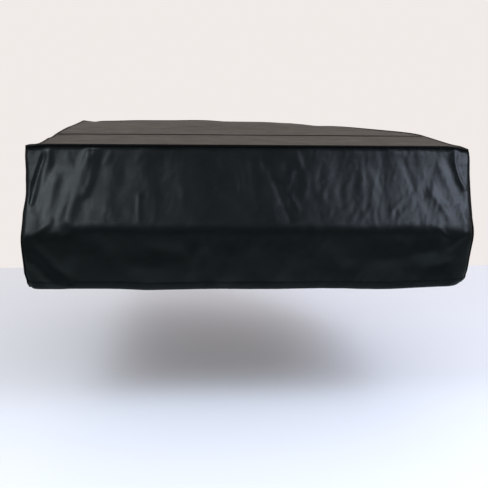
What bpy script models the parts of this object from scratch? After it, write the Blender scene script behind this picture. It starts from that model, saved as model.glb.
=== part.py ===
"""Fitted cover for a small grand piano, in black coated cloth.

The cover has the shape in which it hangs in use. Two panels lie flat and make the top. A front panel slopes
out, turns down and drops to the hem. Two side panels close the sides and the rounded back. Piping runs in the
seams around the top and down the two front corners.

+X points to the long curved side, +Y to the back and +Z up. The origin lies on the underside of the top, at
mid-width and about halfway between the front edge and the back.
"""

import math

import bmesh
import bpy
import numpy as np

# Driving sizes, in metres
HALF_WIDTH = 0.741
FRONT_Y = -0.600
CROSS_SEAM_Y = -0.175
HEM_DROP = 0.456
CREASE_DROP = 0.245
FRONT_REACH = 0.150
LEDGE_HEIGHT = 0.012
CLOTH_THICKNESS = 0.0020
HEM_THICKNESS = 0.0032
HEM_HEIGHT = 0.025
PIPING_RADIUS = 0.0045
SEWN_GAP = 0.0004

# How the front hangs: an upright ledge under the seam, a slope that sags, and a turn that droops at its ends
CREASE_DROOP = 0.036
CREASE_DROOP_WIDTH = 0.170
FRONT_SAG = 0.070
FRONT_RECEDE = 0.030
CREASE_SOFTNESS = 0.140
FRONT_BLEND = 0.250

# The seam stands up along the top's front edge, and its front corners are pulled down a little
FRONT_RISE = 0.006
FRONT_RISE_DEPTH = 0.120
CORNER_DIP = 0.008
CORNER_DIP_WIDTH = 0.070
TOP_SHAPE_DROP = 0.060

# The top's crown rises behind the origin and falls again toward the back, where the seam is pulled down
CROWN_HEIGHT = 0.008
CROWN_RISE = 0.300
CROWN_END_Y = 0.580
CROWN_FALL = 0.200
BACK_DIP = 0.006
BACK_DIP_Y = 0.400
BACK_DIP_DEPTH = 0.160

# Where the front hem hangs lower: x, half width, how much lower
HEM_SAGS = (
    (-0.300, 0.140, 0.005),
    (0.060, 0.220, 0.006),
    (0.450, 0.160, 0.009),
    (-0.755, 0.030, -0.006),
    (0.765, 0.050, -0.015),
)

# Seam line from above, counterclockwise from the front left:
# x, y, radius of the rounded corner, cloth columns in the corner, cloth columns on the straight after it
PLAN = (
    (-HALF_WIDTH, FRONT_Y, 0.014, 4, 56),
    (HALF_WIDTH, FRONT_Y, 0.014, 4, 11),
    (HALF_WIDTH, -0.065, 0.280, 6, 3),
    (0.500, 0.232, 0.300, 6, 2),
    (0.225, 0.372, 0.600, 2, 4),
    (-0.160, 0.597, 0.300, 6, 3),
    (-0.500, 0.588, 0.250, 4, 3),
    (-HALF_WIDTH, 0.470, 0.060, 6, 20),
)
HEM_CORNER_RADII = (0.030, 0.075)
STRAIGHT_CROWDING = 0.55

# Rows of PLAN: the corners where a seam runs down the skirt, and the end of the straight right side
FRONT_LEFT, FRONT_RIGHT, BACK_LEFT = 0, 1, 7
RIGHT_END = 2

# How far each front corner stands out sideways: drop below the top, left corner, right corner
CORNER_OUTS = (
    (0.000, 0.0225, 0.0300),
    (0.090, 0.0185, 0.0285),
    (0.150, 0.0160, 0.0305),
    (0.220, 0.0240, 0.0335),
    (0.310, 0.0270, 0.0430),
    (0.400, 0.0245, 0.0430),
    (0.435, 0.0175, 0.0370),
    (0.456, 0.0085, 0.0170),
)
CORNER_OUT_WIDTH = 0.140
CORNER_OUT_DEPTH = 0.200

# Folds of the front panel: from x and drop, to x and drop, half width, height (a trough is negative)
FRONT_FOLDS = (
    (-0.698, 0.025, -0.732, 0.185, 0.012, 0.007),
    (-0.668, 0.045, -0.645, 0.160, 0.018, -0.006),
    (-0.662, 0.130, -0.708, 0.225, 0.020, 0.006),
    (-0.560, 0.055, -0.628, 0.235, 0.016, 0.008),
    (-0.519, 0.030, -0.556, 0.180, 0.018, -0.007),
    (-0.724, 0.285, -0.630, 0.415, 0.018, -0.008),
    (-0.722, 0.370, -0.640, 0.440, 0.016, 0.006),
    (-0.363, 0.060, -0.365, 0.205, 0.018, 0.004),
    (0.157, 0.050, 0.212, 0.125, 0.018, 0.005),
    (0.155, 0.070, 0.180, 0.180, 0.018, -0.005),
    (0.392, 0.060, 0.382, 0.220, 0.024, 0.004),
    (0.535, 0.070, 0.595, 0.150, 0.018, 0.006),
    (0.605, 0.150, 0.664, 0.235, 0.016, -0.007),
    (0.630, 0.120, 0.676, 0.225, 0.015, 0.007),
    (0.706, 0.030, 0.735, 0.140, 0.012, -0.007),
    (0.725, 0.290, 0.660, 0.296, 0.014, -0.005),
    (0.555, 0.345, 0.640, 0.375, 0.020, -0.004),
)

# Waves of the side panels: share of the panel's length, half width as a share, swing at the hem
LEFT_WAVES = (
    (0.16, 0.10, 0.006),
    (0.38, 0.08, -0.005),
    (0.57, 0.09, 0.007),
    (0.80, 0.07, -0.004),
)
RIGHT_WAVES = (
    (0.10, 0.05, 0.005),
    (0.24, 0.04, -0.004),
    (0.37, 0.06, 0.008),
    (0.53, 0.05, -0.006),
    (0.66, 0.06, 0.007),
    (0.83, 0.05, 0.006),
    (0.93, 0.03, -0.004),
)

# Levels of the skirt: down to this drop, in so many rows
LEVEL_ZONES = (
    (LEDGE_HEIGHT, 1),
    (0.190, 5),
    (0.300, 5),
    (HEM_DROP - HEM_HEIGHT, 3),
    (HEM_DROP, 1),
)
TOP_FRONT_STEP = 4
TOP_FRONT_ROWS = 12
TOP_REAR_ROWS = 8
EDGE_COLUMNS = 3
PIPING_BEVEL_RESOLUTION = 2

# Where the cloth stops short of a seam line: beside the piping, or against the next panel
EDGE = PIPING_RADIUS + SEWN_GAP
FRONT_TOP_EDGE = EDGE - 0.0002
FRONT_CORNER_EDGE = EDGE + 0.0009
SIDE_TOP_EDGE = EDGE + 0.0005
SIDE_CORNER_EDGE = EDGE + 0.0013
BUTT_EDGE = SEWN_GAP / 2.0


def clear_scene():
    for thing in list(bpy.data.objects):
        bpy.data.objects.remove(thing, do_unlink=True)


def make_material(name, colour, roughness):
    material = bpy.data.materials.new(name)
    material.use_nodes = True
    shader = material.node_tree.nodes["Principled BSDF"]
    shader.inputs["Base Color"].default_value = (*colour, 1.0)
    shader.inputs["Roughness"].default_value = roughness
    shader.inputs["Metallic"].default_value = 0.0
    return material


def smooth(share):
    """Ease from 0 to 1, flat at both ends."""
    share = np.clip(share, 0.0, 1.0)
    return share * share * (3.0 - 2.0 * share)


def soft_min(first, second, softness):
    """The smaller of two values, with a rounded turn from one to the other."""
    mix = np.clip(0.5 + 0.5 * (second - first) / softness, 0.0, 1.0)
    return second + (first - second) * mix - softness * mix * (1.0 - mix)


def crowded(count, crowding):
    """Shares from 0 to 1 that lie closer together near both ends."""
    even = np.linspace(0.0, 1.0, count + 1)
    return even - crowding * np.sin(2.0 * math.pi * even) / (2.0 * math.pi)


def unit(vector):
    return vector / np.linalg.norm(vector)


def plan_corners(drop):
    """The plan at one level: the front corners get rounder toward the hem."""
    share = smooth(drop / HEM_DROP)
    corners = list(PLAN)
    for place, hem_radius in zip((FRONT_LEFT, FRONT_RIGHT), HEM_CORNER_RADII):
        x, y, top_radius, *columns = PLAN[place]
        corners[place] = (x, y, top_radius + (hem_radius - top_radius) * share, *columns)
    return corners


def rounded_outline(corners, inset=0.0):
    """Points along a closed outline with round corners, and the place of each corner's middle."""
    arcs = []
    for place, (x, y, radius, steps, _) in enumerate(corners):
        tip = np.array((x, y))
        back = unit(np.array(corners[place - 1][:2]) - tip)
        ahead = unit(np.array(corners[(place + 1) % len(corners)][:2]) - tip)
        turn = math.pi - math.acos(back @ ahead)
        centre = tip + unit(back + ahead) * radius / math.cos(turn / 2.0)
        reach = radius * math.tan(turn / 2.0)
        first = tip + back * reach - centre
        last = tip + ahead * reach - centre
        bulges = back[0] * ahead[1] < back[1] * ahead[0]
        scale = 1.0 - (inset if bulges else -inset) / radius
        shares = np.linspace(0.0, 1.0, steps + 1)[:, None]
        spokes = first * np.sin((1.0 - shares) * turn) + last * np.sin(shares * turn)
        arcs.append(centre + scale * spokes / math.sin(turn))
    points = []
    middles = []
    for place, arc in enumerate(arcs):
        following = arcs[(place + 1) % len(arcs)][0]
        middles.append(len(points) + len(arc) // 2)
        points += list(arc)
        straight = crowded(corners[place][4], STRAIGHT_CROWDING)[1:-1, None]
        points += list(arc[-1] + (following - arc[-1]) * straight)
    return np.array(points), middles


def skirt_levels(first_drop):
    """Drops of the skirt's rows, from just below the top piping to the hem."""
    levels = [first_drop]
    for drop, rows in LEVEL_ZONES:
        levels += list(np.linspace(levels[-1], drop, rows + 1)[1:])
    return levels


def outline_run(drop, start, end, trims):
    """Points of the plan between two corners' middles, and each column's share of the run."""
    top_run = plan_run(0.0, start, end)
    top_lengths = lengths_along(top_run)
    shares = top_lengths / top_lengths[-1]
    run = plan_run(drop, start, end)
    lengths = lengths_along(run)
    trimmed = trims[0] + shares * (lengths[-1] - trims[0] - trims[1])
    xs = np.interp(trimmed, lengths, run[:, 0])
    ys = np.interp(trimmed, lengths, run[:, 1])
    return xs, ys, shares


def plan_run(drop, start, end):
    points, middles = rounded_outline(plan_corners(drop))
    count = (middles[end] - middles[start]) % len(points)
    return points[(middles[start] + np.arange(count + 1)) % len(points)]


def lengths_along(run):
    steps = np.linalg.norm(np.diff(run, axis=0), axis=1)
    return np.concatenate(((0.0,), np.cumsum(steps)))


def bumps(place, rows):
    """Sum of rounded bumps at one place: each row has a middle, a half width and a height."""
    return sum(rise * math.exp(-(((place - middle) / width) ** 2)) for middle, width, rise in rows)


def corner_out(x, drop):
    """How far a front corner stands out at one level, eased from row to row of the table."""
    drops = [row[0] for row in CORNER_OUTS]
    outs = [row[1] if x < 0.0 else row[2] for row in CORNER_OUTS]
    place = min(max(np.searchsorted(drops, drop) - 1, 0), len(drops) - 2)
    share = smooth((drop - drops[place]) / (drops[place + 1] - drops[place]))
    return math.copysign(outs[place] + (outs[place + 1] - outs[place]) * share, x)


def forward(x, drop):
    """How far the front stands ahead of the top's front edge."""
    near_end = smooth((abs(x) - HALF_WIDTH + CREASE_DROOP_WIDTH) / CREASE_DROOP_WIDTH)
    turn_drop = CREASE_DROP + CREASE_DROOP * near_end
    share = max(drop - LEDGE_HEIGHT, 0.0) / (turn_drop - LEDGE_HEIGHT)
    slope = share - FRONT_SAG * math.sin(math.pi * min(share, 1.0))
    dropping = 1.0 - FRONT_RECEDE * (share - 1.0)
    level = soft_min(slope, dropping, CREASE_SOFTNESS) - soft_min(0.0, 1.0, CREASE_SOFTNESS)
    return FRONT_REACH * level


def hang(x, y, drop):
    """Where a point of the plain box lies once the cover hangs."""
    behind = y - FRONT_Y
    near_front = 1.0 - smooth(behind / FRONT_BLEND)
    near_side = smooth((abs(x) - HALF_WIDTH + CORNER_OUT_WIDTH) / CORNER_OUT_WIDTH)
    near_tip = 1.0 - smooth(math.hypot(abs(x) - HALF_WIDTH, behind) / CORNER_DIP_WIDTH)
    rise = FRONT_RISE * (1.0 - smooth(behind / FRONT_RISE_DEPTH)) - CORNER_DIP * near_tip
    rise -= BACK_DIP * smooth((y - BACK_DIP_Y) / BACK_DIP_DEPTH)
    rise *= 1.0 - smooth(drop / TOP_SHAPE_DROP)
    sag = bumps(x, HEM_SAGS) * near_front * smooth(drop / HEM_DROP)
    near_corner = near_side * max(1.0 - behind / CORNER_OUT_DEPTH, 0.0) ** 2
    out = corner_out(x, max(drop, 0.0)) * near_corner
    return np.array((x + out, y - forward(x, drop) * near_front, rise - drop - sag))


def fold_height(x, drop, folds):
    """Sum of the folds at one point: each is a rounded ridge or trough that fades at its ends."""
    height = 0.0
    for from_x, from_drop, to_x, to_drop, half_width, rise in folds:
        run_x = to_x - from_x
        run_drop = to_drop - from_drop
        length = math.hypot(run_x, run_drop)
        along = ((x - from_x) * run_x + (drop - from_drop) * run_drop) / length
        across = ((x - from_x) * run_drop - (drop - from_drop) * run_x) / length
        fade = smooth((along + half_width) / (2.0 * half_width))
        fade *= smooth((length + half_width - along) / (2.0 * half_width))
        height += rise * fade * math.exp(-((across / half_width) ** 2))
    return height


def wave_height(share, drop, waves):
    """Swing of a hanging side panel, growing from its top seam to its hem."""
    return bumps(share, waves) * smooth(drop / HEM_DROP)


def skirt_grid(start, end, first_drop, trims, lift):
    """Rows of points of a hanging panel between two seams, moved out by its own folds."""
    drops = skirt_levels(first_drop)
    points = []
    for drop in drops:
        xs, ys, shares = outline_run(drop, start, end, trims)
        points.append([hang(x, y, drop) for x, y in zip(xs, ys)])
    points = np.array(points)
    across = np.gradient(points, axis=1)
    down = np.gradient(points, axis=0)
    normals = np.cross(down, across)
    normals /= np.linalg.norm(normals, axis=2)[:, :, None]
    for row, drop in enumerate(drops):
        for column, share in enumerate(shares):
            inset = min(column, len(shares) - 1 - column) / EDGE_COLUMNS
            rise = lift(points[row, column], share, drop) * smooth(inset)
            points[row, column] += normals[row, column] * rise
    return points


def cloth_panel(name, points, material, hem_drop=None):
    """A cloth panel from its middle surface, thicker in its hem."""
    rows, columns, _ = points.shape
    mesh = bpy.data.meshes.new(name)
    shape = bmesh.new()
    verts = [[shape.verts.new(point) for point in row] for row in points]
    for row in range(rows - 1):
        for column in range(columns - 1):
            corners = (
                verts[row][column],
                verts[row + 1][column],
                verts[row + 1][column + 1],
                verts[row][column + 1],
            )
            shape.faces.new(corners)
    shape.to_mesh(mesh)
    shape.free()
    mesh.materials.append(material)
    mesh.shade_smooth()
    panel = bpy.data.objects.new(name, mesh)
    bpy.context.scene.collection.objects.link(panel)
    solid = panel.modifiers.new("Cloth", "SOLIDIFY")
    solid.thickness = CLOTH_THICKNESS
    solid.offset = 0.0
    if hem_drop is not None:
        hem = panel.vertex_groups.new(name="hem")
        low = [vert.index for vert in mesh.vertices if -vert.co.z > hem_drop - HEM_HEIGHT]
        hem.add(low, 1.0, "REPLACE")
        solid.thickness = HEM_THICKNESS
        solid.vertex_group = hem.name
        solid.thickness_vertex_group = CLOTH_THICKNESS / HEM_THICKNESS
    return panel


def piping(name, points, material, closed):
    """A round cord along a seam."""
    curve = bpy.data.curves.new(name, "CURVE")
    curve.dimensions = "3D"
    curve.bevel_depth = PIPING_RADIUS
    curve.bevel_resolution = PIPING_BEVEL_RESOLUTION
    curve.use_fill_caps = not closed
    spline = curve.splines.new("POLY")
    spline.points.add(len(points) - 1)
    for place, point in zip(spline.points, points):
        place.co = (*point, 1.0)
    spline.use_cyclic_u = closed
    spline.use_smooth = True
    curve.materials.append(material)
    cord = bpy.data.objects.new(name, curve)
    bpy.context.scene.collection.objects.link(cord)
    return cord


def crown(x, y):
    """How far the top is crowned: nowhere ahead of the origin, most in its rear middle."""
    along = smooth(y / CROWN_RISE)
    aside = 1.0 - smooth(abs(x) / HALF_WIDTH)
    back = smooth((CROWN_END_Y - y) / CROWN_FALL)
    return CROWN_HEIGHT * along * aside * back


def top_point(x, y):
    point = hang(x, y, 0.0)
    point[2] += CLOTH_THICKNESS / 2.0 + crown(x, y)
    return point


def build_top_panel(name, edge, seam_y, rows, material):
    """A flat panel between a stretch of the top's edge and the cross seam, column by column."""
    points = []
    for share in np.linspace(0.0, 1.0, rows + 1):
        points.append([top_point(x, y + (seam_y - y) * share) for x, y in edge])
    return cloth_panel(name, np.array(points), material)


def build_top_front(material):
    """The strip of the top between the front edge and the cross seam."""
    outline, middles = rounded_outline(PLAN, EDGE)
    left = outline[: PLAN[FRONT_LEFT][3] + 1]
    right_start = middles[FRONT_RIGHT] - PLAN[FRONT_RIGHT][3] // 2
    right = outline[right_start : right_start + PLAN[FRONT_RIGHT][3] + 1]
    between = outline[len(left) : right_start][TOP_FRONT_STEP // 2 :: TOP_FRONT_STEP]
    edge = np.concatenate((left, between, right))
    return build_top_panel("top_front_panel", edge, CROSS_SEAM_Y - SEWN_GAP / 2.0, TOP_FRONT_ROWS, material)


def build_top_rear(material):
    """The large rear panel of the top, from the cross seam to the back and the curved side."""
    outline, middles = rounded_outline(PLAN, EDGE)
    first = middles[RIGHT_END] - PLAN[RIGHT_END][3] // 2
    last = middles[BACK_LEFT] + PLAN[BACK_LEFT][3] // 2
    edge = outline[first : last + 1]
    return build_top_panel("top_rear_panel", edge, CROSS_SEAM_Y + SEWN_GAP / 2.0, TOP_REAR_ROWS, material)


def build_front(material):
    """The front panel: its slope, the turn, the drop and the hem."""

    def lift(point, share, drop):
        return fold_height(point[0], drop, FRONT_FOLDS)

    trims = (FRONT_CORNER_EDGE, FRONT_CORNER_EDGE)
    points = skirt_grid(FRONT_LEFT, FRONT_RIGHT, FRONT_TOP_EDGE, trims, lift)
    return cloth_panel("front_panel", points, material, HEM_DROP)


def build_side(name, start, end, trims, waves, material):
    """A side panel that hangs in shallow waves from the top to the hem."""

    def lift(point, share, drop):
        return wave_height(share, drop, waves)

    return cloth_panel(name, skirt_grid(start, end, SIDE_TOP_EDGE, trims, lift), material, HEM_DROP)


def build_top_piping(material):
    """The piping around the whole top, in the seam line itself."""
    outline, _ = rounded_outline(PLAN)
    points = [hang(x, y, 0.0) for x, y in outline]
    return piping("top_piping", points, material, True)


def build_corner_piping(name, corner, material):
    """The piping down one front corner, from the top piping to the hem."""
    points = []
    for drop in skirt_levels(2.0 * PIPING_RADIUS + SEWN_GAP):
        outline, middles = rounded_outline(plan_corners(drop))
        points.append(hang(*outline[middles[corner]], drop))
    return piping(name, points, material, False)


def main():
    clear_scene()
    cloth = make_material("black_coated_cloth", (0.012, 0.013, 0.014), 0.42)
    cord = make_material("black_piping", (0.008, 0.008, 0.009), 0.46)
    build_top_front(cloth)
    build_top_rear(cloth)
    build_front(cloth)
    left_trims = (BUTT_EDGE, SIDE_CORNER_EDGE)
    build_side("left_side_panel", BACK_LEFT, FRONT_LEFT, left_trims, LEFT_WAVES, cloth)
    right_trims = (SIDE_CORNER_EDGE, BUTT_EDGE)
    build_side("right_side_panel", FRONT_RIGHT, BACK_LEFT, right_trims, RIGHT_WAVES, cloth)
    build_top_piping(cord)
    build_corner_piping("left_corner_piping", FRONT_LEFT, cord)
    build_corner_piping("right_corner_piping", FRONT_RIGHT, cord)


if __name__ == "__main__":
    main()
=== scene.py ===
"""Looks of a fitted cover for a small grand piano, in black leather-look cloth.

Each cloth panel is a fine sheet that hangs as its solid does, with more of its folds. Piping closes the
seams, and rows of stitches hold the hem and the lapped seam of the top. Lengths are in metres. +X points to
the long curved side, +Y to the back and +Z up, and the origin lies on the underside of the top.
"""

import math

import bpy
import numpy as np
from bpy.props import FloatProperty, FloatVectorProperty, PointerProperty
from mathutils import Matrix, Vector, noise


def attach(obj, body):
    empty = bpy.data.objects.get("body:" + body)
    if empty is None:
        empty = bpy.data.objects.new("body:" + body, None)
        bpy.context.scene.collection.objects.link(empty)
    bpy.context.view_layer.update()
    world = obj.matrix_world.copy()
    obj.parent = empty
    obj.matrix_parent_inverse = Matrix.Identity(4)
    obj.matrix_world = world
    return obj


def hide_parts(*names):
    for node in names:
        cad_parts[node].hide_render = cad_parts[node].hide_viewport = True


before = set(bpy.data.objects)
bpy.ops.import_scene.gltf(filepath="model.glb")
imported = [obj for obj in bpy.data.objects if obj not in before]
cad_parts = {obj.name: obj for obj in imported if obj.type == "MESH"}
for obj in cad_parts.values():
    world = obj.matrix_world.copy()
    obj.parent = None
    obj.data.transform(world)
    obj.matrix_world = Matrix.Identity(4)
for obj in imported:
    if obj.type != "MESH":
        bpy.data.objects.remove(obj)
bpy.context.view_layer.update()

bl_info = {
    "name": "Grand Piano Cover",
    "version": (1, 0, 0),
    "blender": (4, 5, 0),
    "location": "View3D > Sidebar > Piano Cover",
    "description": "Builds a fitted black piano cover with its folds, piping and stitches",
    "category": "Add Mesh",
}

# Half the width of the top between its seam lines
HALF_WIDTH = 0.741
FRONT_Y = -0.600

# Seam line from above, counterclockwise from the front left:
# x, y, radius of the rounded corner, cloth columns in the corner, cloth columns on the straight after it
PLAN = (
    (-HALF_WIDTH, FRONT_Y, 0.014, 24, 336),
    (HALF_WIDTH, FRONT_Y, 0.014, 24, 66),
    (HALF_WIDTH, -0.065, 0.280, 36, 18),
    (0.500, 0.232, 0.300, 36, 12),
    (0.225, 0.372, 0.600, 12, 24),
    (-0.160, 0.597, 0.300, 36, 18),
    (-0.500, 0.588, 0.250, 24, 18),
    (-HALF_WIDTH, 0.470, 0.060, 36, 120),
)
HEM_CORNER_RADII = (0.030, 0.075)
STRAIGHT_CROWDING = 0.55

# Rows of PLAN: the corners where a seam runs down the skirt, and the end of the straight right side
FRONT_LEFT, FRONT_RIGHT, BACK_LEFT = 0, 1, 7
RIGHT_END = 2

# How far each front corner stands out sideways: drop below the top, left corner, right corner
CORNER_OUTS = (
    (0.000, 0.0215, 0.0275),
    (0.012, 0.0228, 0.0310),
    (0.025, 0.0230, 0.0315),
    (0.090, 0.0185, 0.0285),
    (0.150, 0.0160, 0.0290),
    (0.220, 0.0235, 0.0305),
    (0.310, 0.0270, 0.0425),
    (0.400, 0.0245, 0.0430),
    (0.435, 0.0175, 0.0370),
    (0.456, 0.0085, 0.0170),
)
CORNER_OUT_WIDTH = 0.140
CORNER_OUT_DEPTH = 0.150

# How the front hangs: an upright ledge under the seam, a slope that sags, and a turn that droops at its ends
LEFT_CREASE_DROOP = 0.042
RIGHT_CREASE_DROOP = 0.016
CREASE_DROOP_WIDTH = 0.170
FRONT_SAG = 0.070
FRONT_RECEDE = 0.030
CREASE_SOFTNESS = 0.110
LEDGE_SOFTNESS = 0.006
FRONT_BLEND = 0.250

# The seam stands up along the top's front edge, and its front corners are pulled down a little
FRONT_RISE = 0.006
FRONT_RISE_DEPTH = 0.080
CORNER_DIP = 0.006
CORNER_DIP_WIDTH = 0.070
TOP_SHAPE_DROP = 0.060

# The left end of the top's seam hangs a little: y, half width, rise
LEFT_SEAM_SAGS = (
    (-0.450, 0.110, -0.0060),
    (-0.270, 0.080, -0.0045),
    (0.040, 0.140, 0.0030),
)

# The top's crown rises behind the origin and falls again toward the back, where the seam is pulled down
CROWN_RISE = 0.300
CROWN_END_Y = 0.580
CROWN_FALL = 0.200
BACK_DIP = 0.006
BACK_DIP_Y = 0.400
BACK_DIP_DEPTH = 0.160

# Where the front hem hangs lower: x, half width, how much lower
HEM_SAGS = (
    (-0.300, 0.140, 0.005),
    (0.060, 0.220, 0.006),
    (0.450, 0.160, 0.009),
    (-0.360, 0.050, 0.002),
    (-0.755, 0.030, -0.006),
    (0.765, 0.050, -0.015),
)

# Folds of the front panel: half width, height (a trough is negative), and the x and drop of each point
# of the line that the fold follows
FRONT_FOLDS = (
    (0.008, 0.0020, (-0.714, 0.024), (-0.723, 0.074), (-0.735, 0.118)),
    (0.011, -0.0030, (-0.706, 0.027), (-0.714, 0.087), (-0.731, 0.139), (-0.736, 0.183)),
    (0.014, 0.0028, (-0.686, 0.015), (-0.686, 0.052), (-0.695, 0.099), (-0.712, 0.165), (-0.722, 0.200)),
    (0.018, -0.0013, (-0.666, 0.018), (-0.663, 0.080), (-0.683, 0.124)),
    (0.025, 0.0050, (-0.656, 0.087), (-0.672, 0.142), (-0.685, 0.212), (-0.708, 0.256)),
    (0.015, 0.0016, (-0.626, 0.033), (-0.597, 0.086)),
    (0.020, 0.0048, (-0.540, 0.023), (-0.569, 0.071), (-0.590, 0.123), (-0.601, 0.171), (-0.612, 0.241)),
    (0.014, 0.0036, (-0.523, 0.010), (-0.528, 0.061), (-0.546, 0.114), (-0.560, 0.156)),
    (0.014, 0.0022, (-0.546, 0.011), (-0.548, 0.068), (-0.566, 0.117), (-0.576, 0.159)),
    (0.009, 0.0010, (-0.476, 0.020), (-0.498, 0.058)),
    (0.020, -0.0014, (-0.559, 0.165), (-0.567, 0.229)),
    (0.026, 0.0010, (-0.472, 0.042), (-0.485, 0.206)),
    (0.024, -0.0006, (-0.432, 0.029), (-0.435, 0.212)),
    (0.007, 0.0013, (-0.379, 0.144), (-0.376, 0.229)),
    (0.022, 0.0012, (-0.368, 0.010), (-0.356, 0.123)),
    (0.028, -0.0012, (-0.311, 0.016), (-0.295, 0.212)),
    (0.030, 0.0012, (-0.223, 0.035), (-0.235, 0.212)),
    (0.028, -0.0012, (-0.134, 0.008), (-0.129, 0.165)),
    (0.010, 0.0014, (-0.052, 0.050), (-0.034, 0.141)),
    (0.018, -0.0012, (0.003, 0.040), (0.018, 0.207)),
    (0.013, -0.0013, (0.038, 0.030), (0.077, 0.097)),
    (0.014, -0.0026, (0.083, 0.110), (0.095, 0.153), (0.117, 0.183)),
    (0.010, -0.0015, (0.110, 0.180), (0.127, 0.233)),
    (0.011, 0.0022, (0.159, 0.027), (0.175, 0.072)),
    (0.014, 0.0016, (0.181, 0.084), (0.186, 0.116), (0.176, 0.162)),
    (0.008, 0.0018, (0.129, 0.153), (0.157, 0.195)),
    (0.012, 0.0012, (0.067, 0.177), (0.077, 0.230)),
    (0.018, -0.0014, (0.231, 0.052), (0.240, 0.134)),
    (0.028, 0.0012, (0.231, 0.046), (0.240, 0.180)),
    (0.024, -0.0010, (0.302, 0.026), (0.313, 0.165)),
    (0.012, 0.0008, (0.379, 0.026), (0.382, 0.134), (0.372, 0.222)),
    (0.016, -0.0007, (0.353, 0.058), (0.343, 0.207)),
    (0.018, 0.0010, (0.424, 0.090), (0.398, 0.230)),
    (0.022, -0.0010, (0.461, 0.019), (0.442, 0.183)),
    (0.012, -0.0012, (0.523, 0.038), (0.550, 0.099), (0.563, 0.134)),
    (0.011, 0.0009, (0.461, 0.195), (0.490, 0.183), (0.508, 0.204), (0.483, 0.231)),
    (0.018, 0.0012, (0.585, 0.018), (0.599, 0.102)),
    (0.016, 0.0036, (0.612, 0.134), (0.635, 0.171), (0.661, 0.201), (0.673, 0.231)),
    (0.014, -0.0012, (0.578, 0.152), (0.610, 0.213)),
    (0.022, 0.0019, (0.654, 0.050), (0.682, 0.115), (0.706, 0.165), (0.708, 0.228)),
    (0.014, -0.0016, (0.696, 0.004), (0.685, 0.060), (0.700, 0.112), (0.722, 0.152)),
    (0.009, 0.0036, (0.720, 0.000), (0.714, 0.054), (0.723, 0.099), (0.743, 0.134)),
    (0.012, 0.0022, (0.720, 0.183), (0.727, 0.243)),
    (0.022, -0.0050, (-0.739, 0.286), (-0.721, 0.314), (-0.682, 0.358), (-0.646, 0.397), (-0.595, 0.425)),
    (0.021, 0.0062, (-0.736, 0.344), (-0.704, 0.386), (-0.667, 0.421), (-0.628, 0.439)),
    (0.012, 0.0030, (-0.658, 0.229), (-0.695, 0.256), (-0.729, 0.283)),
    (0.014, -0.0020, (-0.644, 0.260), (-0.599, 0.241)),
    (0.030, 0.0034, (-0.613, 0.273), (-0.598, 0.362)),
    (0.034, -0.0036, (-0.516, 0.280), (-0.467, 0.363)),
    (0.030, 0.0032, (-0.415, 0.363), (-0.283, 0.392)),
    (0.026, -0.0030, (-0.341, 0.308), (-0.229, 0.336)),
    (0.022, 0.0030, (-0.196, 0.309), (-0.217, 0.414)),
    (0.022, -0.0028, (-0.163, 0.323), (-0.143, 0.428)),
    (0.030, 0.0032, (-0.070, 0.316), (-0.089, 0.429)),
    (0.026, -0.0026, (0.011, 0.324), (0.033, 0.430)),
    (0.030, 0.0030, (0.111, 0.310), (0.101, 0.416)),
    (0.034, -0.0030, (0.220, 0.324), (0.334, 0.403)),
    (0.030, 0.0044, (0.393, 0.353), (0.510, 0.343)),
    (0.026, -0.0034, (0.470, 0.283), (0.542, 0.312)),
    (0.020, 0.0046, (0.543, 0.329), (0.632, 0.319)),
    (0.024, -0.0046, (0.576, 0.390), (0.686, 0.369)),
    (0.012, 0.0030, (0.667, 0.316), (0.696, 0.291), (0.731, 0.267)),
    (0.010, 0.0022, (0.620, 0.243), (0.649, 0.277), (0.678, 0.291)),
)

# Small unevenness of the cloth: size along x, size down, height
CRUMPLES = (
    (0.090, 0.140, 0.0008),
    (0.034, 0.052, 0.0005),
    (0.015, 0.020, 0.0002),
)

# Creases left by handling, which lean and are stronger on the right half: size along x, size down, height
CREASES = (
    (0.085, 0.110, 0.0006),
    (0.042, 0.050, 0.0007),
    (0.021, 0.024, 0.0004),
)
CREASE_LEAN = 0.35
CREASE_SHARES = (0.40, 1.0)
CREASED_FROM_X = -0.150
CREASED_TO_X = 0.250

# How far the folds wander off their lines, and over what length
FOLD_WANDER = 0.007
FOLD_WANDER_SIZE = 0.070

# The hem: a groove at its stitches, a slight swell below it and a rolled lower edge
HEM_GROOVE_DEPTH = 0.0007
HEM_GROOVE_WIDTH = 0.0025
HEM_SWELL = 0.0005
HEM_SWELL_WIDTH = 0.004
HEM_ROLL = 0.0035
HEM_ROLL_HEIGHT = 0.009

# Puckers beside a seam: length of one, height, reach, and the flat strip before they start
PUCKER_LENGTH = 0.011
PUCKER_HEIGHT = 0.0011
PUCKER_REACH = 0.014
PUCKER_START = 0.004

# A panel's edge lies this far inside its piping, and its folds die out near its ends and its top seam
SEWN_OVERLAP = 0.0002
CALM_END = 0.012
CALM_TOP = 0.020

# The lap of the rear panel: rise, how far it takes to fall off, and the groove where its stitches run
LAP_RISE = 0.0021
LAP_FALL = 0.014
LAP_STITCHES = 0.004
LAP_GROOVE_DEPTH = 0.0006
LAP_GROOVE_WIDTH = 0.0015
LAP_CROWDING = 1.6

# The top's cloth: its middle above the seam line, and its unevenness: height, size along x, size along y
TOP_CLOTH_RISE = 0.001
TOP_UNEVENNESS = 0.0010
TOP_UNEVEN_SIZES = (0.240, 0.050)

# How much the piping's thickness varies, as a share, and over what length
CORD_UNEVENNESS = 0.05
CORD_UNEVEN_LENGTH = 0.020

# How far the coating's roughness varies where it is rubbed and mottled, and the mean of the two
RUBBED_ROUGHNESS = 0.16
MOTTLED_ROUGHNESS = 0.08
MEAN_WEAR = 0.12

# Darkest and lightest tone of a colour, as shares of it
COATING_TONES = (0.85, 1.20)
THREAD_TONES = (0.6, 1.5)

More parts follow.
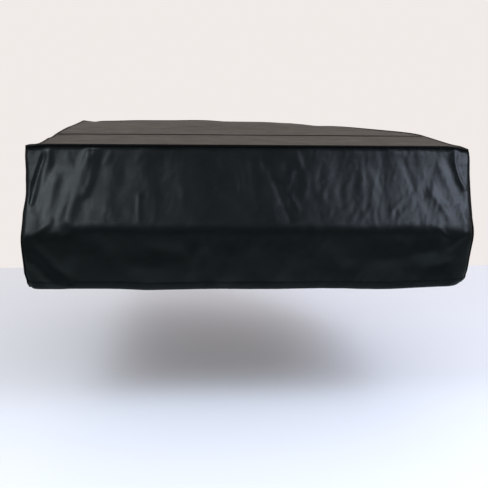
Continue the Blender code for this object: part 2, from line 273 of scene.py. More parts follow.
# Studio: width of the floor, distances between which the floor that the cloth mirrors gets dark, size of the
# backdrop, and the share of its colour that the cloth mirrors
FLOOR_WIDTH = 40.0
MIRRORED_FLOOR = (2.9, 1.5)
BACKDROP_HALF_WIDTH = 20.0
BACKDROP_TOP = 8.0
MIRRORED_BACKDROP = (0.58, 0.53, 0.49)

# Soft lights: setting that holds the power, name, place, size, colour
LIGHTS = (
    ("left_light", "Left soft light", (-1.70, -2.00, 1.90), 1.2, (0.82, 0.94, 1.0)),
    ("right_light", "Right soft light", (2.20, -1.95, 1.90), 1.7, (0.71, 0.81, 1.0)),
)
LIGHT_AIM = (0.0, -0.6, -0.1)

# Waves of the side panels: share of the panel's length, half width as a share, swing at the hem
LEFT_WAVES = (
    (0.10, 0.050, 0.007),
    (0.19, 0.040, -0.006),
    (0.31, 0.055, 0.010),
    (0.42, 0.040, -0.006),
    (0.55, 0.060, 0.010),
    (0.69, 0.045, -0.007),
    (0.82, 0.045, 0.006),
)
RIGHT_WAVES = (
    (0.06, 0.022, 0.006),
    (0.12, 0.025, -0.006),
    (0.18, 0.024, 0.007),
    (0.25, 0.028, -0.005),
    (0.34, 0.030, 0.009),
    (0.42, 0.024, -0.007),
    (0.50, 0.028, 0.010),
    (0.57, 0.022, -0.006),
    (0.65, 0.028, 0.010),
    (0.73, 0.022, -0.006),
    (0.82, 0.030, 0.009),
    (0.90, 0.022, -0.006),
)

# Lumps of the top's seam where its allowances bunch up: x, y, half width, rise
SEAM_LUMPS = (
    (-0.741, -0.560, 0.022, 0.0010),
    (-0.741, -0.330, 0.020, 0.0015),
    (-0.728, 0.452, 0.018, 0.0038),
    (-0.690, 0.496, 0.024, -0.0040),
    (-0.150, 0.590, 0.120, 0.0030),
    (0.745, -0.600, 0.035, -0.0050),
    (0.262, 0.353, 0.028, 0.0010),
    (0.375, 0.297, 0.045, -0.0035),
)

# Skirt rows: down to this share of the drop, in so many rows
SKIRT_ZONES = (
    (0.040, 8),
    (0.640, 44),
    (0.930, 14),
    (0.978, 6),
    (1.000, 6),
)
TOP_FRONT_ROWS = 26
TOP_REAR_ROWS = 64


def metres(name, description, default):
    return FloatProperty(name=name, description=description, default=default, unit="LENGTH")


def degrees(name, description, default):
    return FloatProperty(name=name, description=description, default=math.radians(default), subtype="ANGLE")


def tint(name, description, default):
    return FloatVectorProperty(
        name=name, description=description, default=default, subtype="COLOR", min=0.0, max=1.0
    )


class CoverCut(bpy.types.PropertyGroup):
    """Sizes of the cut and of the hang."""

    cross_seam_y: metres("Cross seam", "Place of the top's cross seam", -0.175)
    hem_drop: metres("Drop", "From the top down to the hem", 0.456)
    crease_drop: metres("Turn", "From the top down to the turn of the front", 0.245)
    front_reach: metres("Reach", "How far the front stands out", 0.150)
    ledge: metres("Ledge", "Height of the upright strip below the top's front seam", 0.012)
    crown: metres("Crown", "How far the top rises in its rear middle", 0.008)
    thickness: metres("Cloth", "Thickness of the coated cloth", 0.0012)
    hem_thickness: metres("Hem cloth", "Thickness where the cloth is folded double", 0.0024)
    hem_height: metres("Hem", "Height of the folded hem", 0.025)
    lap: metres("Lap", "How far the rear panel laps over the front one", 0.012)
    piping_radius: metres("Piping", "Radius of the piping cord", 0.0045)


class CoverThread(bpy.types.PropertyGroup):
    """Sizes of the stitches."""

    pitch: metres("Pitch", "From one stitch to the next", 0.0045)
    length: metres("Length", "Length of one stitch", 0.0034)
    radius: metres("Radius", "Radius of the thread", 0.0004)
    inset: metres("Inset", "From the folded edge of the lap to its stitches", 0.004)


class CoverFinish(bpy.types.PropertyGroup):
    """Colours and texture of the cloth."""

    cloth_colour: tint("Cloth", "Colour of the coated cloth", (0.0019, 0.0032, 0.0033))
    # The piping is as black as the cloth, and its colour is set darker still: painted shade along the top's
    # edge
    piping_colour_and_painted_shade: tint("Piping", "Colour of the piping", (0.0016, 0.0017, 0.0018))
    thread_colour: tint("Thread", "Colour of the thread", (0.010, 0.010, 0.011))
    roughness: FloatProperty(
        name="Roughness", description="Roughness of the coating", default=0.39, min=0.0, max=1.0
    )
    gloss: FloatProperty(
        name="Gloss", description="Strength of the coating's reflection", default=0.30, min=0.0, max=1.0
    )
    grain_size: metres("Grain", "Width of one grain of the embossed leather", 0.0014)
    grain_depth: metres("Grain depth", "Depth of the embossed grain", 0.00006)


class CoverStudio(bpy.types.PropertyGroup):
    """Floor, light and camera."""

    floor_drop: metres("Floor", "From the top of the cover down to the floor", 0.960)
    floor_colour: tint("Floor colour", "Colour of the floor", (0.82, 0.86, 0.94))
    backdrop_y: metres("Backdrop", "From the origin back to the backdrop", 1.190)
    backdrop_colour: tint("Backdrop colour", "Colour of the bright backdrop", (0.88, 0.83, 0.81))
    dark_colour: tint("Dark room", "What the cloth mirrors in front and below", (0.018, 0.026, 0.029))
    side_colour: tint("Sides", "What the cloth mirrors at both sides", (0.30, 0.32, 0.34))
    near_floor_colour: tint("Near floor", "What the cloth mirrors of the floor close by", (0.44, 0.56, 0.58))
    left_light: FloatProperty(
        name="Left light", description="Power of the left soft light", default=33.0, unit="POWER"
    )
    right_light: FloatProperty(
        name="Right light", description="Power of the right soft light", default=70.0, unit="POWER"
    )
    lens: FloatProperty(name="Lens", description="Focal length in millimetres", default=50.13)
    pitch: degrees("Pitch", "How far the camera looks down", 14.69)
    roll: degrees("Roll", "Turn of the camera about its line of sight", 0.775)
    yaw: degrees("Yaw", "Turn of the camera to the left", -3.857)
    camera_place: FloatVectorProperty(
        name="Camera", description="Where the camera stands", default=(-0.177, -2.935, 0.272),
        subtype="TRANSLATION", unit="LENGTH",
    )


def smooth(share):
    """Ease from 0 to 1, flat at both ends."""
    share = np.clip(share, 0.0, 1.0)
    return share * share * (3.0 - 2.0 * share)


def soft_min(first, second, softness):
    """The smaller of two values, with a rounded turn from one to the other."""
    mix = np.clip(0.5 + 0.5 * (second - first) / softness, 0.0, 1.0)
    return second + (first - second) * mix - softness * mix * (1.0 - mix)


def crowded(count, crowding):
    """Shares from 0 to 1 that lie closer together near both ends."""
    even = np.linspace(0.0, 1.0, count + 1)
    return even - crowding * np.sin(2.0 * math.pi * even) / (2.0 * math.pi)


def bumps(place, rows):
    """Sum of rounded bumps: each row has a middle, a half width and a height."""
    return sum(height * np.exp(-(((place - middle) / width) ** 2)) for middle, width, height in rows)


def unit(vector):
    return vector / np.linalg.norm(vector)


def uneven(first, second, sizes, seed):
    """Smooth noise from -1 to 1 over two coordinates of a sheet."""
    first, second = np.broadcast_arrays(first / sizes[0], second / sizes[1])
    values = [noise.noise((a, b, seed)) for a, b in zip(first.ravel(), second.ravel())]
    return np.array(values).reshape(first.shape)


def plan_corners(cut, drop):
    """The plan at one level: the front corners get rounder toward the hem."""
    share = smooth(drop / cut.hem_drop)
    corners = list(PLAN)
    for place, hem_radius in zip((FRONT_LEFT, FRONT_RIGHT), HEM_CORNER_RADII):
        x, y, top_radius, *columns = PLAN[place]
        corners[place] = (x, y, top_radius + (hem_radius - top_radius) * share, *columns)
    return corners


def rounded_outline(corners, inset=0.0):
    """Points along a closed outline with round corners, and the place of each corner's middle."""
    arcs = []
    for place, (x, y, radius, steps, _) in enumerate(corners):
        tip = np.array((x, y))
        back = unit(np.array(corners[place - 1][:2]) - tip)
        ahead = unit(np.array(corners[(place + 1) % len(corners)][:2]) - tip)
        turn = math.pi - math.acos(back @ ahead)
        centre = tip + unit(back + ahead) * radius / math.cos(turn / 2.0)
        reach = radius * math.tan(turn / 2.0)
        first = tip + back * reach - centre
        last = tip + ahead * reach - centre
        bulges = back[0] * ahead[1] < back[1] * ahead[0]
        scale = 1.0 - (inset if bulges else -inset) / radius
        shares = np.linspace(0.0, 1.0, steps + 1)[:, None]
        spokes = first * np.sin((1.0 - shares) * turn) + last * np.sin(shares * turn)
        arcs.append(centre + scale * spokes / math.sin(turn))
    points = []
    middles = []
    for place, arc in enumerate(arcs):
        following = arcs[(place + 1) % len(arcs)][0]
        middles.append(len(points) + len(arc) // 2)
        points += list(arc)
        straight = crowded(corners[place][4], STRAIGHT_CROWDING)[1:-1, None]
        points += list(arc[-1] + (following - arc[-1]) * straight)
    return np.array(points), middles


def plan_run(cut, drop, start, end):
    """The stretch of the plan between two corners' middles."""
    points, middles = rounded_outline(plan_corners(cut, drop))
    count = (middles[end] - middles[start]) % len(points)
    return points[(middles[start] + np.arange(count + 1)) % len(points)]


def lengths_along(run):
    steps = np.linalg.norm(np.diff(run, axis=0), axis=1)
    return np.concatenate(((0.0,), np.cumsum(steps)))


def skirt_drops(cut, first_drop):
    """Drops of the skirt's rows, from just below the top seam to the hem."""
    drops = [first_drop]
    for share, rows in SKIRT_ZONES:
        drops += list(np.linspace(drops[-1], share * cut.hem_drop, rows + 1)[1:])
    return np.array(drops)


def corner_out(x, drop):
    """How far a front corner stands out at one level, eased from row to row of the table."""
    table = np.array(CORNER_OUTS)
    place = int(np.clip(np.searchsorted(table[:, 0], drop) - 1, 0, len(table) - 2))
    share = smooth((drop - table[place, 0]) / (table[place + 1, 0] - table[place, 0]))
    left, right = table[place, 1:] + (table[place + 1, 1:] - table[place, 1:]) * share
    return np.where(x < 0.0, -left, right)


def forward(cut, x, drop):
    """How far the front stands ahead of the top's front edge."""
    near_end = smooth((np.abs(x) - HALF_WIDTH + CREASE_DROOP_WIDTH) / CREASE_DROOP_WIDTH)
    below_ledge = -soft_min(cut.ledge - drop, 0.0, LEDGE_SOFTNESS)
    droop = np.where(x < 0.0, LEFT_CREASE_DROOP, RIGHT_CREASE_DROOP) * near_end
    share = below_ledge / (cut.crease_drop + droop - cut.ledge)
    slope = share - FRONT_SAG * np.sin(math.pi * np.minimum(share, 1.0))
    dropping = 1.0 - FRONT_RECEDE * (share - 1.0)
    level = soft_min(slope, dropping, CREASE_SOFTNESS) - soft_min(0.0, 1.0, CREASE_SOFTNESS)
    return cut.front_reach * level


def seam_lumps(x, y):
    """How far the lumps of the top's seam lift the cloth beside them."""
    height = 0.0
    for at_x, at_y, half_width, rise in SEAM_LUMPS:
        height = height + rise * np.exp(-((x - at_x) ** 2 + (y - at_y) ** 2) / half_width**2)
    return height


def hang(cut, x, y, drop):
    """Where points of the plain box lie once the cover hangs, at one level."""
    behind = y - FRONT_Y
    near_front = 1.0 - smooth(behind / FRONT_BLEND)
    near_side = smooth((np.abs(x) - HALF_WIDTH + CORNER_OUT_WIDTH) / CORNER_OUT_WIDTH)
    near_tip = 1.0 - smooth(np.hypot(np.abs(x) - HALF_WIDTH, behind) / CORNER_DIP_WIDTH)
    rise = FRONT_RISE * (1.0 - smooth(behind / FRONT_RISE_DEPTH)) - CORNER_DIP * near_tip
    rise = rise - BACK_DIP * smooth((y - BACK_DIP_Y) / BACK_DIP_DEPTH)
    rise = rise + bumps(y, LEFT_SEAM_SAGS) * np.where(x < 0.0, near_side, 0.0) * smooth(behind / 0.050)
    rise = (rise + seam_lumps(x, y)) * (1.0 - smooth(drop / TOP_SHAPE_DROP))
    sag = bumps(x, HEM_SAGS) * near_front * smooth(drop / cut.hem_drop)
    near_corner = near_side * np.maximum(1.0 - behind / CORNER_OUT_DEPTH, 0.0) ** 2
    out = corner_out(x, max(drop, 0.0)) * near_corner
    ahead = forward(cut, x, max(drop, 0.0)) * near_front
    return np.stack((x + out, y - ahead, rise - drop - sag), axis=-1)


def fold_height(x, drop):
    """Sum of the front panel's folds: each is a soft ridge or trough that fades at its ends."""
    sizes = (FOLD_WANDER_SIZE, FOLD_WANDER_SIZE)
    x = x + FOLD_WANDER * uneven(x, drop, sizes, 3.7)
    drop = drop + FOLD_WANDER * uneven(x, drop, sizes, 8.2)
    height = 0.0
    for half_width, rise, *line in FRONT_FOLDS:
        for (from_x, from_drop), (to_x, to_drop) in zip(line, line[1:]):
            run_x = to_x - from_x
            run_drop = to_drop - from_drop
            length = math.hypot(run_x, run_drop)
            along = ((x - from_x) * run_x + (drop - from_drop) * run_drop) / length
            across = ((x - from_x) * run_drop - (drop - from_drop) * run_x) / length
            fade = smooth((along + half_width) / (2.0 * half_width))
            fade = fade * smooth((length + half_width - along) / (2.0 * half_width))
            height = height + rise * fade * np.exp(-((across / half_width) ** 2))
    return height


def crumple_height(first, second, seed):
    """Small unevenness of handled cloth over two coordinates of a sheet."""
    height = 0.0
    for number, (width, length, depth) in enumerate(CRUMPLES):
        height = height + depth * uneven(first, second, (width, length), seed + 10.0 * number)
    return height


def crease_height(x, drop):
    """Sharp little ridges where folded cloth was pressed, mostly on the right half of the front."""
    height = 0.0
    for number, (width, length, depth) in enumerate(CREASES):
        slant = x + CREASE_LEAN * drop
        ridged = 1.0 - 2.0 * np.abs(uneven(slant, drop + x * 0.0, (width, length), 31.0 + 7.0 * number))
        height = height + depth * ridged
    low, high = CREASE_SHARES
    return height * (low + (high - low) * smooth((x - CREASED_FROM_X) / (CREASED_TO_X - CREASED_FROM_X)))


def sewn_edge(cut):
    """How far the edge of a panel stays from the middle of the piping that it is sewn to."""
    return cut.piping_radius - SEWN_OVERLAP


def hem_profile(cut, drop):
    """The folded hem: a groove at its stitches, a slight swell below it and a rolled lower edge."""
    above_edge = cut.hem_drop - drop
    groove = -HEM_GROOVE_DEPTH * np.exp(-(((above_edge - cut.hem_height) / HEM_GROOVE_WIDTH) ** 2))
    swell = HEM_SWELL * smooth((cut.hem_height - above_edge) / HEM_SWELL_WIDTH)
    roll = -HEM_ROLL * (1.0 - np.clip(above_edge / HEM_ROLL_HEIGHT, 0.0, 1.0)) ** 2
    return groove + swell + roll


def seam_puckers(distance, along, seed):
    """Small puckers that run away from a seam and die out within a few centimetres."""
    waves = uneven(along, along * 0.0, (PUCKER_LENGTH, 1.0), seed)
    return PUCKER_HEIGHT * waves * np.exp(-distance / PUCKER_REACH) * smooth(distance / PUCKER_START)


def skirt_points(cut, start, end, first_drop, trims, lift):
    """Rows of points of a hanging panel, from its top seam to its hem, moved out by its own folds."""
    top_lengths = lengths_along(plan_run(cut, 0.0, start, end))
    shares = top_lengths / top_lengths[-1]
    drops = skirt_drops(cut, first_drop)
    points = []
    for drop in drops:
        run = plan_run(cut, drop, start, end)
        lengths = lengths_along(run)
        trimmed = trims[0] + shares * (lengths[-1] - trims[0] - trims[1])
        xs = np.interp(trimmed, lengths, run[:, 0])
        ys = np.interp(trimmed, lengths, run[:, 1])
        points.append(hang(cut, xs, ys, drop))
    points = np.array(points)
    normals = np.cross(np.gradient(points, axis=0), np.gradient(points, axis=1))
    normals /= np.linalg.norm(normals, axis=2)[:, :, None]
    levels = drops[:, None]
    from_end = np.minimum(shares, 1.0 - shares) * top_lengths[-1]
    rise = lift(points[:, :, 0], shares, levels) * smooth(from_end / CALM_END) * smooth(levels / CALM_TOP)
    rise = rise + hem_profile(cut, levels)
    rise = rise + seam_puckers(from_end[None, :] + levels * 0.0, levels, 5.0 + start)
    rise = rise + seam_puckers(levels, from_end[None, :] + levels * 0.0, 9.0 + start)
    return points + normals * rise[:, :, None]


def crown_height(cut, x, y):
    """How far the top is crowned: nowhere ahead of the origin, most in its rear middle."""
    along = smooth(y / CROWN_RISE)
    aside = 1.0 - smooth(np.abs(x) / HALF_WIDTH)
    back = smooth((CROWN_END_Y - y) / CROWN_FALL)
    return cut.crown * along * aside * back


def deselect_all():
    bpy.ops.object.select_all(action="DESELECT")


def lay_sheet(name, points, cut, double_rows, material):
    """A sheet laid over rows of points, with the cloth's thickness, and more where it is folded double."""
    rows, columns, _ = points.shape
    deselect_all()
    bpy.ops.mesh.primitive_grid_add(x_subdivisions=columns - 1, y_subdivisions=rows - 1, size=1.0)
    sheet = bpy.context.object
    sheet.name = name
    sheet.data.name = name
    sheet.data.vertices.foreach_set("co", points.ravel())
    sheet.data.update()
    sheet.data.materials.append(material)
    bpy.ops.object.shade_smooth()
    folded = sheet.vertex_groups.new(name="double")
    folded.add([row * columns + column for row in double_rows for column in range(columns)], 1.0, "REPLACE")
    solid = sheet.modifiers.new("Cloth", "SOLIDIFY")
    solid.thickness = cut.hem_thickness
    solid.offset = 0.0
    solid.vertex_group = folded.name
    solid.thickness_vertex_group = cut.thickness / cut.hem_thickness
    bpy.ops.object.modifier_apply(modifier=solid.name)
    sheet["columns"] = columns
    return sheet


def outer_face(sheet):
    """Points and normals of a sheet's outer face, row by row."""
    outer = sheet.data.vertices[: len(sheet.data.vertices) // 2]
    points = np.array([vert.co[:] for vert in outer])
    normals = np.array([vert.normal[:] for vert in outer])
    return points.reshape(-1, sheet["columns"], 3), normals.reshape(-1, sheet["columns"], 3)


def line_on(sheet, rows):
    """Points and normals on a sheet's outer face, at one place between its rows for each column."""
    points, normals = outer_face(sheet)
    low = np.clip(np.floor(rows).astype(int), 0, len(points) - 2)
    share = (rows - low)[:, None]
    column = np.arange(len(rows))
    places = points[low, column] * (1.0 - share) + points[low + 1, column] * share
    return places, normals[low, column]


def dress(piece, slot, *nodes):
    """The piece hangs from the root body, and the solids that it stands for are hidden."""
    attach(piece, "root")
    if nodes:
        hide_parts(*nodes)


def add_group(name, inputs, outputs):
    """A shader node group with named inputs (name, default) and outputs."""
    group = bpy.data.node_groups.new(name, "ShaderNodeTree")
    for label, default in inputs:
        socket = group.interface.new_socket(label, in_out="INPUT", socket_type="NodeSocketFloat")
        socket.default_value = default
    for label in outputs:
        group.interface.new_socket(label, in_out="OUTPUT", socket_type="NodeSocketFloat")
    return group, group.nodes.new("NodeGroupInput"), group.nodes.new("NodeGroupOutput")


def add_math(tree, operation, first, second):
    """A Math node on two values, each a socket or a number."""
    node = tree.nodes.new("ShaderNodeMath")
    node.operation = operation
    for socket, value in zip(node.inputs, (first, second)):
        if isinstance(value, (int, float)):
            socket.default_value = value
        else:
            tree.links.new(value, socket)
    return node.outputs["Value"]


def add_noise(tree, coordinates, scale, detail):
    """A Noise Texture on the given coordinates; scale is a socket or a number."""
    node = tree.nodes.new("ShaderNodeTexNoise")
    node.inputs["Detail"].default_value = detail
    tree.links.new(coordinates, node.inputs["Vector"])
    if isinstance(scale, (int, float)):
        node.inputs["Scale"].default_value = scale
    else:
        tree.links.new(scale, node.inputs["Scale"])
    return node.outputs["Fac"]


def make_grain_group():
    """Embossed leather grain: rounded pebbles with thin valleys between them, and a fine pitting."""
    group, given, result = add_group("Leather Grain", (("Grain Size", 0.0014), ("Pitting", 0.3)), ("Height",))
    place = group.nodes.new("ShaderNodeTexCoord").outputs["Object"]
    per_metre = add_math(group, "DIVIDE", 1.0, given.outputs["Grain Size"])
    pebbles = group.nodes.new("ShaderNodeTexVoronoi")
    pebbles.feature = "DISTANCE_TO_EDGE"
    group.links.new(place, pebbles.inputs["Vector"])
    group.links.new(per_metre, pebbles.inputs["Scale"])
    rounded = add_math(group, "POWER", add_math(group, "MULTIPLY", pebbles.outputs["Distance"], 2.0), 0.5)
    fine = add_noise(group, place, add_math(group, "MULTIPLY", per_metre, 4.0), 2.0)
    pitted = add_math(group, "MULTIPLY", fine, given.outputs["Pitting"])
    group.links.new(add_math(group, "ADD", rounded, pitted), result.inputs["Height"])
    return group


def make_handling_group():
    """Marks of folding and handling: broad patches where the coating is rubbed, as values about 0.5."""
    group, given, result = add_group("Handling Marks", (("Patch Size", 0.09),), ("Rubbed", "Mottled"))
    place = group.nodes.new("ShaderNodeTexCoord").outputs["Object"]
    per_metre = add_math(group, "DIVIDE", 1.0, given.outputs["Patch Size"])
    group.links.new(add_noise(group, place, per_metre, 3.0), result.inputs["Rubbed"])
    finer = add_math(group, "MULTIPLY", per_metre, 9.0)
    group.links.new(add_noise(group, place, finer, 4.0), result.inputs["Mottled"])
    return group


def start_material(name, roughness, gloss):
    """A new material, its node tree and its shader."""
    material = bpy.data.materials.new(name)
    material.use_nodes = True
    tree = material.node_tree
    shader = tree.nodes["Principled BSDF"]
    shader.inputs["Roughness"].default_value = roughness
    shader.inputs["Specular IOR Level"].default_value = gloss
    return material, tree, shader


def mix_colours(tree, first, second, factor):
    """A mix of two colours, each a value or a socket."""
    mix = tree.nodes.new("ShaderNodeMix")
    mix.data_type = "RGBA"
    for socket, colour in ((mix.inputs["A"], first), (mix.inputs["B"], second)):
        if isinstance(colour, bpy.types.NodeSocket):
            tree.links.new(colour, socket)
        else:
            socket.default_value = (*colour, 1.0)
    tree.links.new(factor, mix.inputs["Factor"])
    return mix.outputs["Result"]


def colour_shader(tree, shader, colour, tones, factor):
    """Colour a shader by a mix of a darker and a lighter tone of one colour."""
    dark, light = ([share * part for part in colour] for share in tones)
    tree.links.new(mix_colours(tree, dark, light, factor), shader.inputs["Base Color"])


def make_coated_material(name, colour, roughness, gloss, finish):
    """Black coated cloth: embossed grain, a rubbed coating and a soft reflection."""
    material, tree, shader = start_material(name, roughness, gloss)
    grain = tree.nodes.new("ShaderNodeGroup")
    grain.node_tree = bpy.data.node_groups["Leather Grain"]
    grain.inputs["Grain Size"].default_value = finish.grain_size
    marks = tree.nodes.new("ShaderNodeGroup")
    marks.node_tree = bpy.data.node_groups["Handling Marks"]
    rubbed = add_math(tree, "MULTIPLY", marks.outputs["Rubbed"], RUBBED_ROUGHNESS)
    mottled = add_math(tree, "MULTIPLY", marks.outputs["Mottled"], MOTTLED_ROUGHNESS)
    varied = add_math(tree, "ADD", rubbed, mottled)
    tree.links.new(add_math(tree, "ADD", varied, roughness - MEAN_WEAR), shader.inputs["Roughness"])
    colour_shader(tree, shader, colour, COATING_TONES, marks.outputs["Rubbed"])
    bump = tree.nodes.new("ShaderNodeBump")
    bump.inputs["Strength"].default_value = 0.6
    bump.inputs["Distance"].default_value = finish.grain_depth
    tree.links.new(grain.outputs["Height"], bump.inputs["Height"])
    tree.links.new(bump.outputs["Normal"], shader.inputs["Normal"])
    return material


def make_thread_material(name, colour):
    """Polyester thread: twisted plies as fine bands and a dull gloss."""
    material, tree, shader = start_material(name, 0.55, 0.4)
    place = tree.nodes.new("ShaderNodeTexCoord").outputs["Object"]
    colour_shader(tree, shader, colour, THREAD_TONES, add_noise(tree, place, 4000.0, 1.0))
    return material


def find_material(name, make):
    """The material of that name, made the first time it is asked for."""
    return bpy.data.materials.get(name) or make(name)


def cloth_material(context):
    finish = context.scene.cover_finish
    return find_material(
        "Black coated cloth",
        lambda name: make_coated_material(name, finish.cloth_colour, finish.roughness, finish.gloss, finish),
    )


# The piping is a darker, duller copy of the cloth: its darker colour is painted shade along the top's edge
def piping_material(context):
    finish = context.scene.cover_finish
    return find_material(
        "Black piping",
        lambda name: make_coated_material(
            name, finish.piping_colour_and_painted_shade, finish.roughness + 0.10, 0.4 * finish.gloss, finish
        ),
    )


def thread_material(context):
    finish = context.scene.cover_finish
    return find_material("Black thread", lambda name: make_thread_material(name, finish.thread_colour))


def lay_cord(name, points, cut, closed, material):
    """A round cord along a seam, made a mesh, with slightly uneven thickness."""
    curve = bpy.data.curves.new(name, "CURVE")
    curve.dimensions = "3D"
    curve.bevel_depth = cut.piping_radius
    curve.bevel_resolution = 4
    curve.use_fill_caps = not closed
    spline = curve.splines.new("POLY")
    spline.points.add(len(points) - 1)
    spline.points.foreach_set("co", np.column_stack((points, np.ones(len(points)))).ravel())
    for point, place in zip(spline.points, lengths_along(points)):
        point.radius = 1.0 + CORD_UNEVENNESS * noise.noise((place / CORD_UNEVEN_LENGTH, 0.0, 2.0))
    spline.use_cyclic_u = closed
    spline.use_smooth = True
    curve.materials.append(material)
    cord = bpy.data.objects.new(name, curve)
    bpy.context.scene.collection.objects.link(cord)
    deselect_all()
    cord.select_set(True)
    bpy.context.view_layer.objects.active = cord
    bpy.ops.object.convert(target="MESH")
    return bpy.context.object


def sew_row(name, thread, places, outs, material):
    """A row of stitches along a line: one bead of thread, shaped once and set at each place."""
    lengths = lengths_along(places)
    count = int(lengths[-1] / thread.pitch)
    marks = (np.arange(count) + 0.5) * lengths[-1] / count
    middles = np.column_stack([np.interp(marks, lengths, places[:, axis]) for axis in range(3)])
    ups = np.column_stack([np.interp(marks, lengths, outs[:, axis]) for axis in range(3)])
    ups /= np.linalg.norm(ups, axis=1)[:, None]
    ways = np.gradient(middles, axis=0)
    ways /= np.linalg.norm(ways, axis=1)[:, None]
    sides = np.cross(ups, ways)
    deselect_all()
    bpy.ops.mesh.primitive_uv_sphere_add(segments=6, ring_count=5, radius=1.0)
    row = bpy.context.object
    row.name = name
    row.data.name = name
    bead = np.array([vert.co[:] for vert in row.data.vertices])
    faces = [tuple(face.vertices) for face in row.data.polygons]
    bead = bead * (thread.radius, thread.radius, thread.length / 2.0)
    points = middles[:, None, :] + bead[None, :, 2:3] * ways[:, None, :]
    points = points + bead[None, :, 0:1] * sides[:, None, :] + bead[None, :, 1:2] * ups[:, None, :]
    starts = range(0, count * len(bead), len(bead))
    all_faces = [tuple(start + corner for corner in face) for start in starts for face in faces]
    mesh = bpy.data.meshes.new(name)
    mesh.from_pydata(points.reshape(-1, 3).tolist(), [], all_faces)
    mesh.materials.append(material)
    row.data = mesh
    bpy.ops.object.shade_smooth()
    return row


class COVER_OT_materials(bpy.types.Operator):
    """Build the shared node groups for grain and handling marks"""

    bl_idname = "piano_cover.materials"
    bl_label = "Materials"

    def execute(self, context):
        make_grain_group()
        make_handling_group()
        return {"FINISHED"}


class COVER_OT_top(bpy.types.Operator):
    """Lay the two panels of the top, the rear one lapped over the front one"""

    bl_idname = "piano_cover.top"
    bl_label = "Top panels"

    def execute(self, context):
        cut = context.scene.cover_cut
        outline, middles = rounded_outline(PLAN, sewn_edge(cut))
        self.lay_front(context, cut, outline, middles)
        self.lay_rear(context, cut, outline, middles)
        return {"FINISHED"}

    def lay_front(self, context, cut, outline, middles):
        last = middles[FRONT_RIGHT] + PLAN[FRONT_RIGHT][3] // 2
        edge = outline[: last + 1 : 2]
        points = self.panel_points(cut, edge, cut.cross_seam_y, np.linspace(0.0, 1.0, TOP_FRONT_ROWS + 1))
        sheet = lay_sheet("top_front_sheet", points, cut, (), cloth_material(context))
        dress(sheet, "coated_cloth", "top_front_panel")

    def lay_rear(self, context, cut, outline, middles):
        first = middles[RIGHT_END] - PLAN[RIGHT_END][3] // 2
        last = middles[BACK_LEFT] + PLAN[BACK_LEFT][3] // 2
        edge = outline[first : last + 1]
        shares = 1.0 - np.linspace(1.0, 0.0, TOP_REAR_ROWS + 1) ** LAP_CROWDING
        points = self.panel_points(cut, edge, cut.cross_seam_y - cut.lap, shares)
        behind_edge = points[:, :, 1] - (cut.cross_seam_y - cut.lap)
        from_stitches = behind_edge - LAP_STITCHES
        points[:, :, 2] += LAP_RISE * (1.0 - smooth((behind_edge - cut.lap) / LAP_FALL))
        points[:, :, 2] -= LAP_GROOVE_DEPTH * np.exp(-((from_stitches / LAP_GROOVE_WIDTH) ** 2))
        double = [row for row in range(len(points)) if np.mean(behind_edge[row]) < cut.lap + 0.002]
        sheet = lay_sheet("top_rear_sheet", points, cut, double, cloth_material(context))
        dress(sheet, "coated_cloth", "top_rear_panel")

    def panel_points(self, cut, edge, seam_y, shares):
        """Rows of points from a stretch of the top's edge to the cross seam, column by column."""
        rows = []
        for share in shares:
            xs = edge[:, 0]
            ys = edge[:, 1] + (seam_y - edge[:, 1]) * share
            row = hang(cut, xs, ys, 0.0)
            row[:, 2] += TOP_CLOTH_RISE + crown_height(cut, xs, ys)
            row[:, 2] += TOP_UNEVENNESS * uneven(xs, ys, TOP_UNEVEN_SIZES, 1.3) * smooth(share * 6.0)
            rows.append(row)
        return np.array(rows)


class COVER_OT_front(bpy.types.Operator):
    """Hang the front panel with its folds"""

    bl_idname = "piano_cover.front"
    bl_label = "Front panel"

    def execute(self, context):
        cut = context.scene.cover_cut
        trim = sewn_edge(cut)

        def lift(x, shares, drops):
            worn = crumple_height(x, drops + x * 0.0, 11.0) + crease_height(x, drops)
            return fold_height(x, drops) + worn

        points = skirt_points(cut, FRONT_LEFT, FRONT_RIGHT, trim, (trim, trim), lift)
        sheet = hang_sheet("front_sheet", points, cut, context)
        dress(sheet, "coated_cloth", "front_panel")
        return {"FINISHED"}


class COVER_OT_sides(bpy.types.Operator):
    """Hang the straight left side and the long right side, which runs on around the back"""

    bl_idname = "piano_cover.sides"
    bl_label = "Side panels"

    def execute(self, context):
        cut = context.scene.cover_cut
        trim = sewn_edge(cut)
        left = self.side(cut, context, "left_side_sheet", BACK_LEFT, FRONT_LEFT, (0.0, trim), LEFT_WAVES)
        dress(left, "coated_cloth", "left_side_panel")
        right = self.side(cut, context, "right_side_sheet", FRONT_RIGHT, BACK_LEFT, (trim, 0.0), RIGHT_WAVES)
        dress(right, "coated_cloth", "right_side_panel")
        return {"FINISHED"}

    def side(self, cut, context, name, start, end, trims, waves):
        length = lengths_along(plan_run(cut, 0.0, start, end))[-1]

        def lift(x, shares, drops):
            swing = bumps(shares[None, :], waves) * smooth(drops / cut.hem_drop)
            return swing + crumple_height(shares[None, :] * length, drops + x * 0.0, 20.0 + start)

        points = skirt_points(cut, start, end, sewn_edge(cut), trims, lift)
        return hang_sheet(name, points, cut, context)


def hang_sheet(name, points, cut, context):
    """A skirt panel from rows that run from its top seam to its hem, folded double in the hem."""
    upward = points[::-1]
    drops = skirt_drops(cut, sewn_edge(cut))[::-1]
    double = [row for row, drop in enumerate(drops) if drop > cut.hem_drop - cut.hem_height]
    return lay_sheet(name, upward, cut, double, cloth_material(context))


